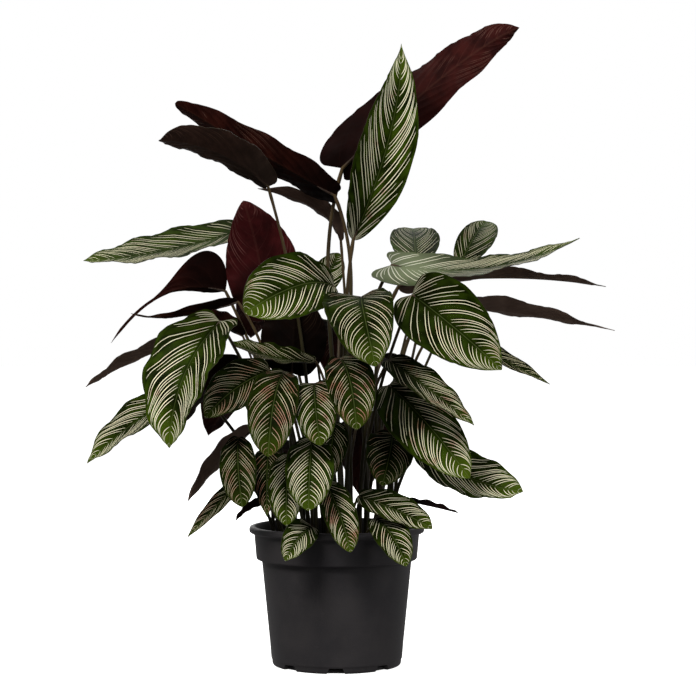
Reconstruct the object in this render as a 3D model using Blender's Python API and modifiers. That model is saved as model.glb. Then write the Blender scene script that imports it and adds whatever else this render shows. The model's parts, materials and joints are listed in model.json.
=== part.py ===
"""A pinstripe calathea in its nursery pot: pot, soil and leaves, each leaf one piece with its stem.

The origin is the centre of the pot's underside. +Z is up and the front is towards -Y.
Every length in this file is in millimetres, and MM turns it into metres.
"""

import math

import bmesh
import bpy
import numpy as np
from mathutils import Matrix, Vector

MM = 0.001

# Pot: half profile as radius and height, down the outside from the rim and up the inside again.
POT_STEPS = 36
POT_OUTSIDE = (
    (91.5, 150.0),
    (94.4, 149.0),
    (95.0, 143.6),
    (89.6, 142.4),
    (87.2, 114.8),
    (81.4, 114.0),
    (70.4, 4.0),
    (68.0, 0.0),
)
POT_INSIDE = (
    (60.0, 2.6),
    (67.4, 7.0),
    (79.4, 115.6),
    (85.0, 118.0),
    (87.6, 145.0),
    (89.2, 149.2),
)
SLOTS = 8
SLOT_WIDTH = 21.0
SLOT_TOP = 0.7
SLOT_HEIGHT = 6.0
SLOT_INNER = 62.5
SLOT_TURN = -90.5

# Soil: a filled block that keeps clear of the pot's wall, with its top a little under the rim.
SOIL_STEPS = 24
SOIL_PROFILE = (
    (0.0, 129.0),
    (84.2, 127.0),
    (83.6, 118.8),
    (78.4, 115.7),
    (66.6, 7.4),
    (59.6, 3.2),
    (0.0, 3.2),
)
HOLE_BOTTOM = 104.0
HOLE_CLEAR = 1.1

# Stems: round, thinner towards the blade, run on a little way under it as the midrib's start.
STEM_FOOT = 104.3
STEM_STRAIGHT = 134.0
STEM_SEGMENTS = 5
STEM_UNDER = 0.14

# Blades: one formula for all, in steps along the midrib and across it.
FRAME_STEPS = 60
LARGE_ROWS = (0, 2, 7, 14, 22, 31, 40, 51, 60)
SMALL_ROWS = (0, 3, 12, 24, 38, 51, 60)
COLUMNS = 4
COLUMN_EDGE = 0.52
LARGE_FROM = 125.0
NARROWEST = 1.6
WAVES = 3.5
BLADE_THICK = 0.9
RIB_THICK = 1.7

# Name: foot of the stem on the soil (x, y), blade base, blade tip, how far the midrib's arch is pulled
# from the straight line between them, where the upper side looks, half width, fold, curl, and two powers,
# of how slowly the blade widens from its base and narrows to its tip.
LEAF_ROWS = {
    "upright": ((12, -1), (18, -20, 459), (69, -45, 666), (24, 0, 4),
        (0.3, -0.9, 0.2), 34, 12, 14, 0.75, 1.2),
    "top_right": ((6, 14), (6, 20, 540), (198, -5, 690), (-13, 0, 14),
        (0.37, 0.85, -0.37), 36, 10, 14, 0.3, 0.8),
    "top_left": ((-8, 8), (-2, 0, 509), (-177, 15, 611), (20, 0, -13),
        (0.35, 0.65, 0.6), 26, 10, 14, 0.27, 0.43),
    "left_sweep": ((-22, 4), (-74, -10, 518), (-184, -75, 561), (10, 0, 22),
        (0.2, 0.5, 0.8), 31, 8, 14, 0.4, 0.38),
    "under_sweep": ((16, 34), (5, 48, 462), (-88, 44, 520), (37, 0, 14),
        (0.5, 0.4, 0.8), 20, 8, 20, 0.75, 0.9),
    "burgundy": ((-30, 16), (-78, 34, 374), (-104, 42, 506), (10, -8, 0),
        (-0.1, 1, 0.2), 42, 8, 10, 0.5, 0.75),
    "shoulder": ((-12, -16), (-2, -45, 408), (-92, -140, 378), (4, 0, 26),
        (0.6, -0.9, 0.6), 37, 8, 10, 0.65, 0.45),
    "round_left": ((-50, 26), (-124, 50, 406), (-253, 58, 348), (0, 0, 56),
        (0.1, 0.9, 0.4), 24, 8, 10, 1.4, 7),
    "thin_left": ((-56, 12), (-109, 22, 394), (-227, 30, 381), (0, 0, -17),
        (-0.1, 0.5, 0.8), 11, 14, 20, 0.6, 2.2),
    "long_left": ((-46, 36), (-115, 94, 475), (-282, 46, 440), (-5, 0, -14),
        (-0.1, -0.55, 0.8), 32, 8, 14, 0.4, 0.75),
    "big_left": ((-46, -14), (-124, -45, 371), (-173, -95, 239), (-22, -25, 15),
        (-0.45, -0.8, 0.35), 46, 14, 8, 0.4, 0.72),
    "low_left": ((-60, 8), (-150, 14, 300), (-268, -26, 219), (-5, 0, 16),
        (-0.3, -0.6, 0.7), 28, 8, 14, 0.5, 0.75),
    "dark_left": ((-62, 20), (-145, 30, 356), (-276, 20, 300), (-5, 0, 12),
        (-0.3, 0.25, 0.9), 23, 8, 14, 0.55, 0.85),
    "behind_big": ((-60, -18), (-104, -10, 327), (-175, -35, 246), (-8, 0, 22),
        (-0.6, 0.5, 0.5), 26, 8, 14, 0.55, 0.85),
    "shade_left": ((-34, -22), (-71, -53, 319), (-136, -95, 270), (-6, -8, 10),
        (0, -1, 0.3), 26, 12, 10, 0.5, 0.7),
    "ledge": ((-24, -14), (-23, -17, 329), (-113, -14, 350), (-5, 0, -12),
        (0, -0.35, 0.9), 27, 8, 14, 0.6, 0.75),
    "curl_left": ((-48, 4), (-102, 5, 356), (-142, -5, 382), (-5, 0, 4),
        (0, 0.6, 0.8), 13, 14, 30, 0.55, 0.85),
    "mid_1": ((-24, -32), (-55, -70, 318), (-69, -130, 232), (-4, -20, 24),
        (0, -1, 0.3), 27, 12, 10, 0.6, 0.5),
    "mid_2": ((-10, -30), (-23, -75, 306), (-16, -125, 243), (-4, -14, 18),
        (0, -1, 0.3), 23, 12, 10, 0.6, 0.5),
    "mid_3": ((6, -28), (4, -85, 332), (21, -140, 260), (4, -20, 24),
        (0, -1, 0.3), 26, 12, 10, 0.55, 0.5),
    "crest": ((8, -16), (26, -60, 397), (40, -150, 324), (-8, -25, 30),
        (0, -1, 0.3), 37, 10, 8, 0.3, 0.5),
    "big_right": ((22, -8), (80, -58, 399), (170, -115, 320), (-8, -30, 10),
        (-0.1, -1, 0.2), 41, 10, 8, 0.42, 0.74),
    "fan_right": ((32, 0), (60, -4, 433), (259, -40, 460), (0, -18, -36),
        (0, -0.4, 0.9), 32, 8, 10, 0.35, 0.8),
    "fan_back": ((32, 26), (88, 58, 438), (88, 130, 481), (0, 0, 12),
        (0, -0.5, 0.85), 29, 8, 10, 0.45, 0.65),
    "round_right": ((44, 36), (138, 68, 437), (172, 125, 489), (0, -6, 10),
        (0, -0.6, 0.8), 22, 8, 10, 0.5, 0.6),
    "dark_right_1": ((46, 20), (68, 30, 411), (294, 10, 410), (0, 0, 19),
        (0, 0.12, 1), 27, 8, 14, 0.55, 0.9),
    "dark_right_2": ((58, 4), (98, 20, 392), (303, 5, 362), (0, 0, 8),
        (0.2, 0.35, 0.9), 24, 8, 14, 1.2, 1.8),
    "small_right": ((62, -6), (104, -8, 362), (228, -35, 304), (0, 0, 6),
        (-0.2, -0.6, 0.8), 14, 12, 14, 0.5, 0.9),
    "right_1": ((24, -40), (55, -66, 330), (141, -125, 264), (2, -6, 2),
        (0.2, -0.7, 0.7), 23, 12, 10, 0.45, 0.9),
    "right_2": ((50, -32), (56, -31, 303), (138, -100, 208), (-4, -14, 16),
        (0, -1, 0.2), 34, 12, 10, 0.5, 0.6),
    "right_3": ((56, -22), (86, -27, 234), (195, -80, 193), (0, -4, -16),
        (0.1, -0.8, 0.6), 29, 8, 14, 0.6, 0.65),
    "shade_right": ((38, -46), (60, -34, 250), (48, -74, 198), (4, -10, 12),
        (0, -1, 0.3), 27, 12, 10, 0.5, 0.6),
    "low_right": ((14, -44), (23, -55, 186), (99, -110, 157), (2, -4, 5),
        (0, -0.9, 0.6), 18, 12, 10, 0.5, 0.6),
    "low_right_2": ((28, -56), (41, -65, 164), (72, -118, 119), (4, -16, 12),
        (0, -1, 0.3), 19, 12, 10, 0.5, 0.6),
    "low_mid": ((0, -56), (-12, -73, 202), (15, -122, 134), (2, -14, 14),
        (0, -1, 0.3), 18, 12, 10, 0.55, 0.5),
    "rim_left": ((-16, -64), (-25, -84, 157), (-52, -122, 125), (-2, -10, 10),
        (0, -1, 0.3), 17, 10, 10, 0.5, 0.7),
    "light": ((-22, -48), (-25, -78, 248), (-28, -128, 177), (-1, -14, 16),
        (0, -1, 0.3), 26, 10, 8, 0.6, 0.5),
    "light_back": ((4, -42), (-2, -62, 263), (-8, -78, 203), (0, -8, 10),
        (0, -1, 0.3), 18, 10, 8, 0.55, 0.85),
    "low_1": ((-34, -44), (-50, -58, 230), (-51, -108, 160), (-2, -12, 14),
        (0, -1, 0.3), 20, 10, 8, 0.55, 0.5),
    "low_2": ((-42, -34), (-72, -40, 236), (-72, -88, 167), (-2, -10, 12),
        (0, -1, 0.3), 16, 10, 8, 0.55, 0.85),
    "low_3": ((-58, -32), (-104, -50, 248), (-97, -98, 178), (-4, -12, 12),
        (0, -1, 0.3), 20, 12, 8, 0.6, 0.5),
    "low_left_2": ((-66, -24), (-98, -20, 204), (-159, -45, 141), (4, -6, 8),
        (0, -0.8, 0.6), 10, 12, 10, 0.55, 0.85),
    "low_dark": ((-54, -44), (-74, -46, 178), (-107, -54, 160), (-2, 0, 8),
        (-0.3, 0.4, 0.8), 12, 10, 10, 0.55, 0.85),
    "dark_low": ((-68, -12), (-91, -18, 256), (-160, -32, 178), (3, 0, 14),
        (-0.6, 0.5, 0.5), 17, 10, 16, 0.55, 0.85),
    "low_right_dark": ((60, -34), (75, -7.5, 178), (132, -3.5, 164), (0, 0, 1),
        (0, 0.2, 1), 12, 10, 12, 0.55, 0.85),
    "dark_mid": ((-14, 22), (-49, 9, 315), (-45, 13, 402), (0, -3, 0),
        (0, 1, 0.1), 37, 8, 10, 0.45, 0.6),
    "back_peek": ((2, 40), (-22, 70, 402), (2, 96, 451), (0, 8, 0),
        (0, -1, 0.2), 17, 8, 12, 0.55, 0.6),
    "back_left": ((-14, 58), (-60, 110, 386), (-105, 215, 355), (0, 0, 44),
        (0, 0.2, 1), 38, 8, 10, 0.5, 0.7),
    "back_right": ((54, 40), (94, 92, 376), (140, 195, 332), (0, 0, 44),
        (0, 0.3, 1), 36, 8, 10, 0.5, 0.7),
    "back_mid": ((-6, 56), (2, 98, 372), (0, 205, 296), (0, 0, 40),
        (0, 0.4, 1), 34, 8, 10, 0.5, 0.7),
    "back_low_right": ((20, 60), (54, 96, 268), (72, 188, 198), (0, 0, 32),
        (0, 0.4, 1), 29, 8, 10, 0.55, 0.85),
    "back_far_left": ((-48, 52), (-90, 80, 302), (-152, 160, 240), (0, 0, 28),
        (-0.2, 0.4, 1), 35, 8, 10, 0.55, 0.8),
    "back_low_left": ((-26, 66), (-40, 80, 235), (-60, 165, 170), (0, 0, 30),
        (0, 0.4, 1), 27, 8, 10, 0.55, 0.85),
    "back_low_mid": ((6, 70), (22, 78, 262), (30, 140, 165), (0, 0, 20),
        (0, 0.5, 1), 27, 8, 10, 0.55, 0.85),
    "back_far_right": ((34, 46), (52, 76, 334), (104, 140, 262), (0, 0, 26),
        (0.2, 0.4, 1), 20, 8, 10, 0.55, 0.85),
}

# Name: where the arch is pulled, as a share of the way from base to tip, then the twist at the base and at
# the tip in degrees, how much the edge waves, how much wider the left half is than the right one, and how
# far the lobes at the base reach back, the last three as shares of the half width.
LEAF_FORMS = {
    "upright": (0.57, 0, 0, 0.06, 0.07, 0.45),
    "top_right": (0.75, 45, 50, 0.07, -0.24, 0.88),
    "top_left": (0.5, 0, 0, 0.07, -0.1, 0.45),
    "left_sweep": (0.5, 0, 0, 0.04, 0.0, 0.45),
    "burgundy": (0.5, 0, 0, 0.04, 0.06, 0.45),
    "shoulder": (0.35, 0, 0, 0.05, 0.0, 0.25),
    "round_left": (0.57, 0, 0, 0.0, 0.7, 0.45),
    "thin_left": (0.7, 0, 0, 0.07, 0.0, 0.45),
    "long_left": (0.5, 0, 0, 0.06, 0.0, 0.9),
    "big_left": (0.5, 0, 0, 0.07, 0.0, 0.6),
    "ledge": (0.5, 0, 0, 0.05, 0.12, 0.45),
    "crest": (0.5, 0, 0, 0.04, -0.12, 0.45),
    "big_right": (0.5, 0, 0, 0.04, 0.0, 0.8),
    "fan_right": (0.5, 40, 0, 0.05, -0.25, 1.3),
    "fan_back": (0.5, 0, 0, 0.01, 0.0, 0.45),
    "round_right": (0.5, 0, 0, 0.01, -0.25, 0.45),
    "dark_right_1": (0.5, -60, 0, 0.07, 0.0, 0.45),
    "right_1": (0.5, 0, 0, 0.07, -0.12, 0.45),
    "right_2": (0.5, 0, 0, 0.07, -0.15, 0.6),
    "dark_mid": (0.5, 0, 0, 0.02, 0.0, 0.45),
}
USUAL_FORM = (0.5, 0, 0, 0.07, 0.0, 0.45)

LEAVES = {name: row + LEAF_FORMS.get(name, USUAL_FORM) for name, row in LEAF_ROWS.items()}

NEW_LEAVES = ("light", "low_right", "small_right")

POT_COLOR = (0.024, 0.022, 0.023, 1.0)
SOIL_COLOR = (0.035, 0.022, 0.014, 1.0)
LEAF_COLOR = (0.045, 0.095, 0.022, 1.0)
NEW_LEAF_COLOR = (0.16, 0.3, 0.04, 1.0)


def unit(vector):
    vector = np.asarray(vector, float)
    return vector / np.linalg.norm(vector)


def midrib(leaf, t):
    """Point and direction of the midrib at t, from 0 at the base to 1 at the tip."""
    base, tip, arch = (np.array(leaf[i], float) for i in (1, 2, 3))
    top = base + leaf[10] * (tip - base) + arch
    point = (1 - t) ** 2 * base + 2 * t * (1 - t) * top + t * t * tip
    return point, unit((1 - t) * (top - base) + t * (tip - top))


def rib_frames(leaf):
    """Points, directions, left sides and upper sides along the midrib, carried on from its middle."""
    points, along = zip(*(midrib(leaf, i / FRAME_STEPS) for i in range(FRAME_STEPS + 1)))
    half = FRAME_STEPS // 2
    upper = [None] * (FRAME_STEPS + 1)
    face = unit(leaf[4])
    for start, stop, step in ((half, FRAME_STEPS + 1, 1), (half, -1, -1)):
        carried = face
        for i in range(start, stop, step):
            carried = unit(carried - carried.dot(along[i]) * along[i])
            upper[i] = carried
    points, along, upper = (np.array(rows) for rows in (points, along, upper))
    left = np.cross(upper, along)
    past = np.linspace(-1, 1, FRAME_STEPS + 1)
    turn = np.radians(np.where(past < 0, leaf[11], leaf[12]) * past**2)[:, None]
    upper, left = np.cos(turn) * upper - np.sin(turn) * left, np.cos(turn) * left + np.sin(turn) * upper
    return points, along, left, upper


def leaf_length(leaf):
    points = rib_frames(leaf)[0]
    return float(np.linalg.norm(np.diff(points, axis=0), axis=1).sum())


def half_width(t, base, taper):
    """Share of the widest half width at t: round at the base, drawn out to a point at the tip."""
    peak = base / (base + taper)
    most = peak**base * (1 - peak) ** taper
    return t**base * (1 - t) ** taper / most


def blade_point(leaf, frames, t, s):
    """The blade's upper face at t along the midrib and s, from -1 at the right edge to 1 at the left."""
    place = t * FRAME_STEPS
    i = min(int(place), FRAME_STEPS - 1)
    mix = place - i
    point, along, left, upper = (rows[i] * (1 - mix) + rows[i + 1] * mix for rows in frames)
    wide, fold, curl, base, taper = leaf[5:10]
    wave, uneven, lobe = leaf[13:16]
    share = half_width(t, base, taper)
    side = 1 + (uneven if s > 0 else -uneven)
    width = max(wide * share * side, NARROWEST * min(1.0, 10 * t, 10 * (1 - t)))
    start = math.radians(fold)
    turn = math.radians(curl) + 1e-6
    reach = abs(s)
    out = width * (math.sin(start + turn * reach) - math.sin(start)) / turn
    rise = width * (math.cos(start) - math.cos(start + turn * reach)) / turn
    phase = wide + (1.7 if s > 0 else 0.0)
    rise += wave * wide * reach**2 * math.sin(2 * math.pi * WAVES * t + phase) * min(1.0, 4 * share)
    back = lobe * width * reach**2 * math.exp(-t / 0.08)
    return point + math.copysign(out, s) * left + rise * upper - back * along


def stem_path(leaf):
    """Points and radii from the foot in the soil to the end of the run under the blade."""
    foot = np.array((*leaf[0], STEM_STRAIGHT), float)
    points, along, _, upper = rib_frames(leaf)
    under = points - upper * RIB_THICK / 2
    base = under[0]
    climb = base[2] - foot[2]
    reach = np.linalg.norm(base - foot)
    first = foot + np.array((0.1 * (base[0] - foot[0]), 0.1 * (base[1] - foot[1]), 0.45 * climb))
    arrive = unit(0.5 * along[0] + np.array((0.0, 0.0, 0.8)))
    second = base - 0.3 * reach * arrive
    path = [np.array((*leaf[0], STEM_FOOT), float)]
    for k in range(STEM_SEGMENTS + 1):
        u = k / STEM_SEGMENTS
        path.append(
            (1 - u) ** 3 * foot
            + 3 * u * (1 - u) ** 2 * first
            + 3 * u * u * (1 - u) * second
            + u**3 * base
        )
    path.append(under[round(STEM_UNDER * FRAME_STEPS)])
    thick = 1.35 + 0.006 * leaf_length(leaf)
    last = STEM_SEGMENTS + 1
    radii = [thick - 0.32 * thick * min(k, last) / last for k in range(len(path))]
    radii[-1] = 1.0
    return path, radii


def new_collection(name):
    collection = bpy.data.collections.new(name)
    bpy.context.scene.collection.children.link(collection)
    return collection


def material(name, color, roughness):
    made = bpy.data.materials.new(name)
    made.use_nodes = True
    shader = made.node_tree.nodes["Principled BSDF"]
    shader.inputs["Base Color"].default_value = color
    shader.inputs["Roughness"].default_value = roughness
    made.diffuse_color = color
    return made


def add_object(name, data, collection, look=None):
    made = bpy.data.objects.new(name, data)
    collection.objects.link(made)
    if look is not None:
        data.materials.append(look)
    return made


def evaluated_mesh(made):
    """The object's mesh with its modifiers done."""
    bpy.context.view_layer.update()
    graph = bpy.context.evaluated_depsgraph_get()
    return bpy.data.meshes.new_from_object(made.evaluated_get(graph), depsgraph=graph)


def apply_modifiers(made):
    done = evaluated_mesh(made)
    made.modifiers.clear()
    made.data = done


def weld(mesh, within):
    shape = bmesh.new()
    shape.from_mesh(mesh)
    bmesh.ops.remove_doubles(shape, verts=shape.verts, dist=within)
    bmesh.ops.recalc_face_normals(shape, faces=shape.faces)
    shape.to_mesh(mesh)
    shape.free()


def shade_smooth(mesh):
    mesh.polygons.foreach_set("use_smooth", [True] * len(mesh.polygons))
    mesh.set_sharp_from_angle(angle=math.radians(40))


def turned(name, profile, closed, steps, collection, look=None):
    """A body of revolution from a half profile of (radius, height)."""
    mesh = bpy.data.meshes.new(name)
    points = [(radius * MM, 0.0, height * MM) for radius, height in profile]
    edges = [(i, i + 1) for i in range(len(points) - 1)]
    if closed:
        edges.append((len(points) - 1, 0))
    mesh.from_pydata(points, edges, [])
    made = add_object(name, mesh, collection, look)
    screw = made.modifiers.new("Screw", "SCREW")
    screw.axis = "Z"
    screw.steps = steps
    screw.render_steps = steps
    screw.use_merge_vertices = True
    screw.merge_threshold = 0.00001
    screw.use_normal_calculate = True
    return made


def cut_with(made, cutters, operation="DIFFERENCE"):
    cut = made.modifiers.new("Cut", "BOOLEAN")
    cut.operand_type = "COLLECTION"
    cut.collection = cutters
    cut.operation = operation
    cut.solver = "EXACT"


def slot_cutter(name, turn, cutters):
    """A wedge that is narrower at its top, set across the pot's bottom edge."""
    shape = bmesh.new()
    bmesh.ops.create_cube(shape, size=1.0)
    for corner in shape.verts:
        top = corner.co.z > 0
        width = SLOT_WIDTH * (SLOT_TOP if top else 1.0)
        corner.co.x = SLOT_INNER if corner.co.x < 0 else 80.0
        corner.co.y *= width
        corner.co.z = SLOT_HEIGHT if top else -2.0
    bmesh.ops.scale(shape, vec=(MM, MM, MM), verts=shape.verts)
    bmesh.ops.recalc_face_normals(shape, faces=shape.faces)
    mesh = bpy.data.meshes.new(name)
    shape.to_mesh(mesh)
    shape.free()
    made = add_object(name, mesh, cutters)
    made.matrix_world = Matrix.Rotation(math.radians(turn), 4, "Z")
    made.hide_render = True
    made.display_type = "WIRE"


def hole_cutter(name, foot, radius, cutters):
    shape = bmesh.new()
    bmesh.ops.create_cone(
        shape, cap_ends=True, segments=6, radius1=radius * MM, radius2=radius * MM, depth=40 * MM
    )
    mesh = bpy.data.meshes.new(name)
    shape.to_mesh(mesh)
    shape.free()
    made = add_object(name, mesh, cutters)
    made.location = Vector((foot[0], foot[1], HOLE_BOTTOM + 20)) * MM
    made.hide_render = True
    made.display_type = "WIRE"


def build_pot(parts, cutters):
    look = material("pot_plastic", POT_COLOR, 0.6)
    profile = POT_OUTSIDE + ((0.0, 0.0), (0.0, 2.6)) + POT_INSIDE
    pot = turned("pot", profile, True, POT_STEPS, parts, look)
    for i in range(SLOTS):
        slot_cutter(f"slot_{i + 1}", SLOT_TURN + i * 360 / SLOTS, cutters)
    cut_with(pot, cutters)
    apply_modifiers(pot)
    weld(pot.data, 0.00001)
    shade_smooth(pot.data)


def build_soil(parts, cutters):
    look = material("peat", SOIL_COLOR, 0.95)
    soil = turned("soil", SOIL_PROFILE, False, SOIL_STEPS, parts, look)
    for name, leaf in LEAVES.items():
        radius = (stem_path(leaf)[1][0] + HOLE_CLEAR) / math.cos(math.pi / 6)
        hole_cutter(f"hole_{name}", leaf[0], radius, cutters)
    cut_with(soil, cutters)
    apply_modifiers(soil)
    weld(soil.data, 0.00001)
    shade_smooth(soil.data)


def blade_mesh(name, leaf):
    """The blade's upper face as a triangulated grid, with the weights of its thickness."""
    rows = LARGE_ROWS if leaf_length(leaf) > LARGE_FROM else SMALL_ROWS
    across = (-1.0, -COLUMN_EDGE, 0.0, COLUMN_EDGE, 1.0)
    frames = rib_frames(leaf)
    shape = bmesh.new()
    bmesh.ops.create_grid(shape, x_segments=len(rows) - 1, y_segments=COLUMNS, size=1.0)
    thick = shape.verts.layers.deform.new()
    for vertex in shape.verts:
        row = rows[round((vertex.co.x + 1) / 2 * (len(rows) - 1))]
        s = across[round((vertex.co.y + 1) / 2 * COLUMNS)]
        t = row / FRAME_STEPS
        vertex.co = Vector(blade_point(leaf, frames, t, s)) * MM
        rib = RIB_THICK - (RIB_THICK - BLADE_THICK) * t
        vertex[thick][0] = (rib if s == 0 else BLADE_THICK) / RIB_THICK
    bmesh.ops.remove_doubles(shape, verts=shape.verts, dist=0.00001)
    bmesh.ops.triangulate(shape, faces=shape.faces, quad_method="SHORT_EDGE")
    mesh = bpy.data.meshes.new(name)
    shape.to_mesh(mesh)
    shape.free()
    return mesh


def stem_object(name, leaf, collection):
    path, radii = stem_path(leaf)
    curve = bpy.data.curves.new(name, "CURVE")
    curve.dimensions = "3D"
    curve.bevel_depth = MM
    curve.bevel_resolution = 1
    curve.use_fill_caps = True
    spline = curve.splines.new("POLY")
    spline.points.add(len(path) - 1)
    for point, place, radius in zip(spline.points, path, radii):
        point.co = (*(place * MM), 1.0)
        point.radius = radius
    guide = add_object(name + "_guide", curve, collection)
    mesh = evaluated_mesh(guide)
    weld(mesh, 0.00001)
    bpy.data.objects.remove(guide)
    return add_object(name + "_stem", mesh, collection)


def build_leaf(name, leaf, parts, scratch, look):
    blade = add_object("leaf_" + name, blade_mesh("leaf_" + name, leaf), parts)
    blade.vertex_groups.new(name="thick")
    solid = blade.modifiers.new("Solidify", "SOLIDIFY")
    solid.thickness = RIB_THICK * MM
    solid.offset = -1.0
    solid.use_even_offset = True
    solid.vertex_group = "thick"
    solid.thickness_vertex_group = 0.0
    stem = stem_object(name, leaf, scratch)
    join = blade.modifiers.new("Join", "BOOLEAN")
    join.operation = "UNION"
    join.object = stem
    join.solver = "EXACT"
    apply_modifiers(blade)
    bpy.data.objects.remove(stem)
    weld(blade.data, 0.000005)
    blade.data.materials.clear()
    blade.data.materials.append(look)
    shade_smooth(blade.data)


def main():
    for old in list(bpy.data.objects):
        bpy.data.objects.remove(old)
    parts = new_collection("potted_calathea")
    slots = new_collection("pot_cutters")
    holes = new_collection("soil_cutters")
    scratch = new_collection("stem_helpers")
    build_pot(parts, slots)
    build_soil(parts, holes)
    striped = material("striped_leaf", LEAF_COLOR, 0.35)
    young = material("young_leaf", NEW_LEAF_COLOR, 0.35)
    for name, leaf in LEAVES.items():
        build_leaf(name, leaf, parts, scratch, young if name in NEW_LEAVES else striped)


main()
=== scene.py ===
"""Looks of a pinstripe calathea in its nursery pot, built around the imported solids.

The leaves, the soil and the pot are replaced by finer pieces of the same form. Lengths are in millimetres,
except those of the lights, the camera and the materials, which are in metres.
"""

import json
from math import cos, exp, pi, radians, sin

import bmesh
import bpy
import numpy as np
from mathutils import Matrix, Vector

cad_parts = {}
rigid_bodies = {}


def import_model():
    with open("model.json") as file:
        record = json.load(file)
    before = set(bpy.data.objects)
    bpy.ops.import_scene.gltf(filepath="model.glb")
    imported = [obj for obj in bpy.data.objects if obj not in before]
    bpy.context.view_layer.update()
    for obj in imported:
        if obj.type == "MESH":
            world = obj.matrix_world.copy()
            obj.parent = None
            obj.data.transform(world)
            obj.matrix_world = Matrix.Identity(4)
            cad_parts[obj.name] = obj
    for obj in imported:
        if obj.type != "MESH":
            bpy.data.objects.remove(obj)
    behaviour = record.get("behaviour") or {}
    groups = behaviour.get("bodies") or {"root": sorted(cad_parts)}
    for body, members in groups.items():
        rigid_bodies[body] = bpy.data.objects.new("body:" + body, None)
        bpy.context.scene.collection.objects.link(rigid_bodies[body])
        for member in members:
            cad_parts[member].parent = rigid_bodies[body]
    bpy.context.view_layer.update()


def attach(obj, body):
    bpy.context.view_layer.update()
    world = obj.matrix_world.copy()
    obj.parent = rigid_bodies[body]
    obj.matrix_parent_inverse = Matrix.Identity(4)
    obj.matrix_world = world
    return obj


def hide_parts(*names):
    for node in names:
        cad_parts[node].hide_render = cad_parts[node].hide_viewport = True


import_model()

MM = 0.001

# Frame of each blade, in steps along its midrib. The blade and stem formulas are those of the solids.
FRAME_STEPS = 60
NARROWEST = 1.6
WAVES = 3.5
RIB_THICK = 1.7

# Stems: height of the foot and of the end of its straight part, how much of the blade the stem's run lies
# under, and how deep it is sunk into it.
STEM_FOOT = 104.3
STEM_STRAIGHT = 134.0
STEM_UNDER = 0.14
STEM_SINK = 0.9
STEM_STEPS = 30
STEM_SIDES = 12
# Radius of the stem of a blade of no length, and what each millimetre of blade adds. The rest are shares of
# that radius and of the stem's length, apart from the radius at the run's end.
STEM_RADIUS = 1.35
STEM_PER_LENGTH = 0.006
STEM_TAPER = 0.3
FOOT_WIDER = 1.3
RUN_NARROWER = 0.62
RUN_END = 0.55
KNEE, KNEE_PLACE, KNEE_LENGTH = 0.16, 0.965, 0.025
SHEATH, SHEATH_LENGTH = 0.3, 0.16

# Grid of a blade: cell size, the fewest and most cells along it and from its midrib to its edge, how even
# the rows are (the rest of their spacing is closer near both ends), and how close columns are at the rib.
CELL = 1.9
CELLS_ALONG = (44, 100)
CELLS_ASIDE = (8, 18)
EVEN = 0.45
CLOSER_AT_RIB = 1.2

# Fine relief of the blades. A blade shorter than FULL_LENGTH has lower pleats and finer lines, down to
# FINEST of the usual width.
BLADE_THICK = 0.75
EDGE_THICK = 0.4
GROOVE = 0.5
GROOVE_WIDE = 1.5
PLEAT = 0.32
FLAT_PLEAT = 0.3
FULL_LENGTH = 150
FINEST = 0.65
RUFFLE = 0.5
RUFFLE_LENGTH = 17.0

# Side veins: the pattern's groups on a blade, how far the veins run ahead, and how they rise and hook.
GROUPS_LEAST = 3.4
GROUP_LENGTH = 30
SWEEP = 0.98
VEIN_RISE = 0.72
VEIN_HOOK = 0.28
HOOK_POWER = 2.4
VEIN_HALVINGS = 26
MOST_CROWDED = 0.25

# Shifts in the maps that give each leaf, and each half of it, a pattern of its own.
LEAF_SHIFT = 40.0
SIDE_SHIFT = 20.0
PLACE_SHIFT = 3.0

# Pale lines of a group: place across it from 0 to 1, half width in mm, and how far out to the edge it runs.
LINES = ((0.3, 0.38, 0.99), (0.62, 0.36, 0.95), (0.92, 0.3, 0.78))

# Studio: the floor's half side and glow, the world's strength in front and behind, and the photo's camera.
FLOOR_HALF = 30000
FLOOR_GLOW = 1.0
WORLD_FRONT = 0.12
WORLD_BACK = 0.44
CAMERA_PLACE = (0.0122, -2.0, 0.3426)
CAMERA_LENS = 95.17

# Soft lights: place, the point that they face, size, power in watts, colour.
LIGHTS = dict(
    key=((-0.9, -1.7, 2.3), (0, 0, 0.32), 1.1, 66.0, (1.0, 0.99, 0.97)),
    fill=((1.5, -1.6, 1.0), (0, 0, 0.32), 1.6, 14.0, (0.98, 0.99, 1.0)),
    top=((0.2, 1.1, 2.0), (0, 0, 0.4), 1.6, 14.0, (1.0, 1.0, 1.0)),
    back=((-0.5, 2.3, 0.9), (0, 0, 0.35), 1.6, 22.0, (1.0, 1.0, 1.0)),
)

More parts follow.
